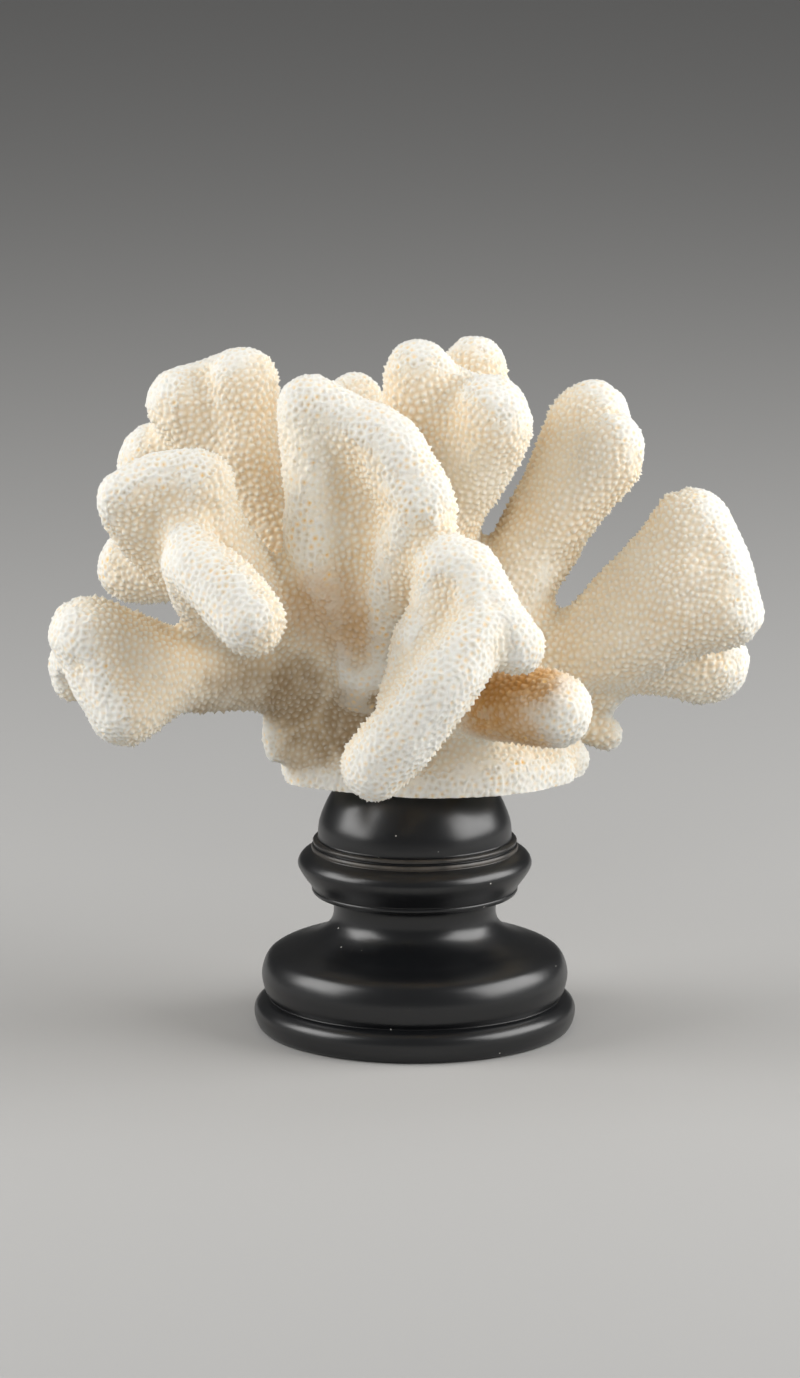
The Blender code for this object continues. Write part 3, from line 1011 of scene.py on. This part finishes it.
# %% Turn the stand
STAND_RUNS = [
    # radius and height in millimetres, from the bottom up
    [(35.4, 0.0), (36.5, 0.3), (37.3, 1.2), (37.9, 2.8), (38.1, 4.5), (37.6, 6.1), (36.3, 7.2),
     (34.6, 7.7)],
    [(34.6, 7.7), (35.4, 9.0), (36.0, 11.0), (36.3, 13.0), (36.0, 15.0), (35.3, 16.8), (34.2, 18.2),
     (32.2, 19.3), (29.4, 20.3), (26.6, 21.2), (23.6, 22.5), (21.4, 24.0), (20.0, 25.6), (19.3, 27.4),
     (19.2, 29.4), (19.4, 31.2), (19.9, 32.2)],
    [(19.9, 32.2), (21.4, 32.4), (22.8, 32.6)],
    [(22.8, 32.6), (23.9, 32.9), (24.4, 33.6), (24.2, 34.3)],
    [(24.2, 34.3), (25.1, 35.6), (26.3, 37.2), (27.3, 38.8), (27.7, 40.0), (27.3, 41.3), (26.4, 42.3),
     (25.2, 43.0), (24.3, 43.4)],
    [(24.3, 43.4), (24.5, 43.8), (24.3, 44.4), (23.8, 44.7)],
    [(23.8, 44.7), (24.1, 45.1), (24.1, 45.6), (23.6, 46.0), (22.9, 46.2)],
    [(22.9, 46.2), (22.9, 48.0), (22.6, 50.2), (21.7, 52.8), (20.4, 55.6), (18.9, 57.9), (17.4, 59.4),
     (15.5, 60.1)],
]
STAND_STEPS = 160
RUN_STEPS = 5
CORNER_EASE = 0.18 * MM
CORNER_SEGMENTS = 2
CORNER_ANGLE = 0.6


def smooth_run(stops):
    """More points along a smooth curve through the stops, from the first to just before the last."""
    ends = [2 * stops[0] - stops[1], *stops, 2 * stops[-1] - stops[-2]]
    run = []
    for a, b, c, d in zip(ends, ends[1:], ends[2:], ends[3:]):
        for step in range(RUN_STEPS):
            t = step / RUN_STEPS
            run.append(0.5 * (2 * b + (c - a) * t + (2 * a - 5 * b + 4 * c - d) * t ** 2
                              + (3 * b - 3 * c + d - a) * t ** 3))
    return run


def turned(runs):
    """Spins the runs into a closed solid round the Z axis, its corners eased a little."""
    solid = bmesh.new()
    axis_foot = solid.verts.new((0, 0, 0))
    chain = [axis_foot]
    for run in runs:
        stops = [Vector((radius, 0, height)) * MM for radius, height in run]
        chain += [solid.verts.new(place) for place in smooth_run(stops)]
    top = runs[-1][-1]
    chain.append(solid.verts.new(Vector((top[0], 0, top[1])) * MM))
    chain.append(solid.verts.new(Vector((0, 0, top[1])) * MM))
    profile = [solid.edges.new(pair) for pair in zip(chain, chain[1:])]
    bmesh.ops.spin(solid, geom=chain + profile, cent=(0, 0, 0), axis=(0, 0, 1), angle=2 * math.pi,
                   steps=STAND_STEPS, use_merge=True)
    bmesh.ops.remove_doubles(solid, verts=solid.verts[:], dist=SAME_PLACE)
    bmesh.ops.recalc_face_normals(solid, faces=solid.faces[:])
    corners = [edge for edge in solid.edges if edge.is_manifold and edge.calc_face_angle() > CORNER_ANGLE]
    bmesh.ops.bevel(solid, geom=corners, offset=CORNER_EASE, affect="EDGES", segments=CORNER_SEGMENTS,
                    profile=0.5, material=-1)
    return solid


solid = turned(STAND_RUNS)
mesh = bpy.data.meshes.new("turned_stand")
solid.to_mesh(mesh)
solid.free()
mesh.shade_smooth()
turned_stand = add_object("turned_stand", mesh)
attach(turned_stand, BODY)
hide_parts("stand")
print("stand:", len(mesh.polygons), "faces, size", [round(side / MM, 1) for side in turned_stand.dimensions])

# %% [markdown]
# The lacquer is a satin black, slightly blue. It has rubbed thin on the edges of the two small rings,
# where the brown undercoat greys it. A painted mask could show that, but height and radius find the
# edges exactly. A few specks of coral dust lie on the lacquer. They are cells of a Voronoi texture,
# with all but a few left out.

# %% Mix the lacquer finish
LACQUER_BLACK = (0.0045, 0.0050, 0.0060)
WORN_BROWN = (0.085, 0.072, 0.058)
DUST_WHITE = (0.55, 0.54, 0.50)
WORN_RINGS = [
    # in millimetres: heights over which the wear comes and goes, radii over which it comes; its share
    ((44.9, 45.3), (45.8, 46.1), (23.4, 24.0), 0.5),
    ((43.2, 43.6), (44.2, 44.6), (24.0, 24.4), 1.0),
]
RUB_SIZE = 5 * MM
RUB_RANGE = (0.30, 0.62)
WEAR_BY_RUB = (0.35, 1.0)
WEAR_AMOUNT = 0.8
SPECK_GAP = 2.6 * MM
SPECK_EDGE = (0.05, 0.09)
SPECK_PICK_SIZE = 4 * MM
SPECK_PICK_RANGE = (0.64, 0.68)
SMEAR_SIZE = 3 * MM
SMEAR_ROUGHNESS = (0.27, 0.34)
WEAR_ROUGHNESS = 0.15
DUST_ROUGHNESS = 0.4

lacquer = Finish("black_lacquer", Specular_IOR_Level=0.7)
split = lacquer.tree.nodes.new("ShaderNodeSeparateXYZ")
lacquer.feed(split, 0, lacquer.place())
x, y, z = (Wire(lacquer, socket) for socket in split.outputs)
radius = (x * x + y * y) ** 0.5


def ramp_mm(wire, span):
    """A ramp whose ends are given in millimetres."""
    return wire.ramp(span[0] * MM, span[1] * MM)


worn = sum(share * ramp_mm(z, rise) * (1 - ramp_mm(z, fall)) * ramp_mm(radius, edge)
           for rise, fall, edge, share in WORN_RINGS)
rubbed = lacquer.noise(RUB_SIZE, 3.0).ramp(*RUB_RANGE)
wear = (worn * rubbed.between(*WEAR_BY_RUB)).clamp()
cell_inputs = {"Vector": lacquer.place(), "Scale": 1 / SPECK_GAP}
cells = lacquer.node("ShaderNodeTexVoronoi", {"feature": "F1"}, cell_inputs)
picked = lacquer.noise(SPECK_PICK_SIZE, 0.0).ramp(*SPECK_PICK_RANGE)
dust = (1 - cells.ramp(*SPECK_EDGE)) * picked
smear = lacquer.noise(SMEAR_SIZE, 3.0).between(*SMEAR_ROUGHNESS)
lacquer.shade(
    Base_Color=lacquer.mix(dust, lacquer.mix(wear * WEAR_AMOUNT, LACQUER_BLACK, WORN_BROWN), DUST_WHITE),
    Roughness=(smear + WEAR_ROUGHNESS * wear + DUST_ROUGHNESS * dust).clamp())
turned_stand.data.materials.append(lacquer.material)
print("lacquer finish on", turned_stand.name)

# %% [markdown]
# ## The floor
#
# The floor is plain and pale. A flat plane alone would end in a horizon line behind the object, so it
# bends up into a backdrop, far enough away that the bend doesn't show in the main picture. It is
# darker than the coral, so that the white outline shows.

# %% Lay the floor
FLOOR_GREY = (0.46, 0.457, 0.45)
FLOOR_SIDE = 20.0
BACKDROP_AT = 7.0
BACKDROP_HEIGHT = 5.0
BACKDROP_BEND = 1.6
BEND_SEGMENTS = 24


def backdrop():
    """A floor and a wall with a wide rounded bend between them."""
    sheet = bmesh.new()
    outline = [(-FLOOR_SIDE / 2, 0), (BACKDROP_AT, 0), (BACKDROP_AT, BACKDROP_HEIGHT)]
    chain = [sheet.verts.new((-FLOOR_SIDE / 2, depth, height)) for depth, height in outline]
    strip = [sheet.edges.new(pair) for pair in zip(chain, chain[1:])]
    pulled = bmesh.ops.extrude_edge_only(sheet, edges=strip)["geom"]
    moved = [item for item in pulled if isinstance(item, bmesh.types.BMVert)]
    bmesh.ops.translate(sheet, vec=(FLOOR_SIDE, 0, 0), verts=moved)
    bend = [edge for edge in sheet.edges if len(edge.link_faces) == 2]
    bmesh.ops.bevel(sheet, geom=bend, offset=BACKDROP_BEND, affect="EDGES", segments=BEND_SEGMENTS,
                    profile=0.5, material=-1)
    bmesh.ops.recalc_face_normals(sheet, faces=sheet.faces[:])
    return sheet


sheet = backdrop()
mesh = bpy.data.meshes.new("floor")
sheet.to_mesh(mesh)
sheet.free()
mesh.shade_smooth()
floor = add_object("floor", mesh)
paper = Finish("floor_paper", Base_Color=FLOOR_GREY, Roughness=0.95, Specular_IOR_Level=0.1)
mesh.materials.append(paper.material)
floor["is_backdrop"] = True
print("floor laid, at height", round(min(v.co.z for v in mesh.vertices), 4))

# %% [markdown]
# ## Check the size
#
# The pieces made here must fill the same box as the loaded solids.

# %% Compare the boxes and finish
new_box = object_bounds()
for label, before, after in zip(("lowest", "highest"), cad_box, new_box):
    print(label, "corner moved by", [round((b - a) / MM, 2) for a, b in zip(before, after)], "mm")
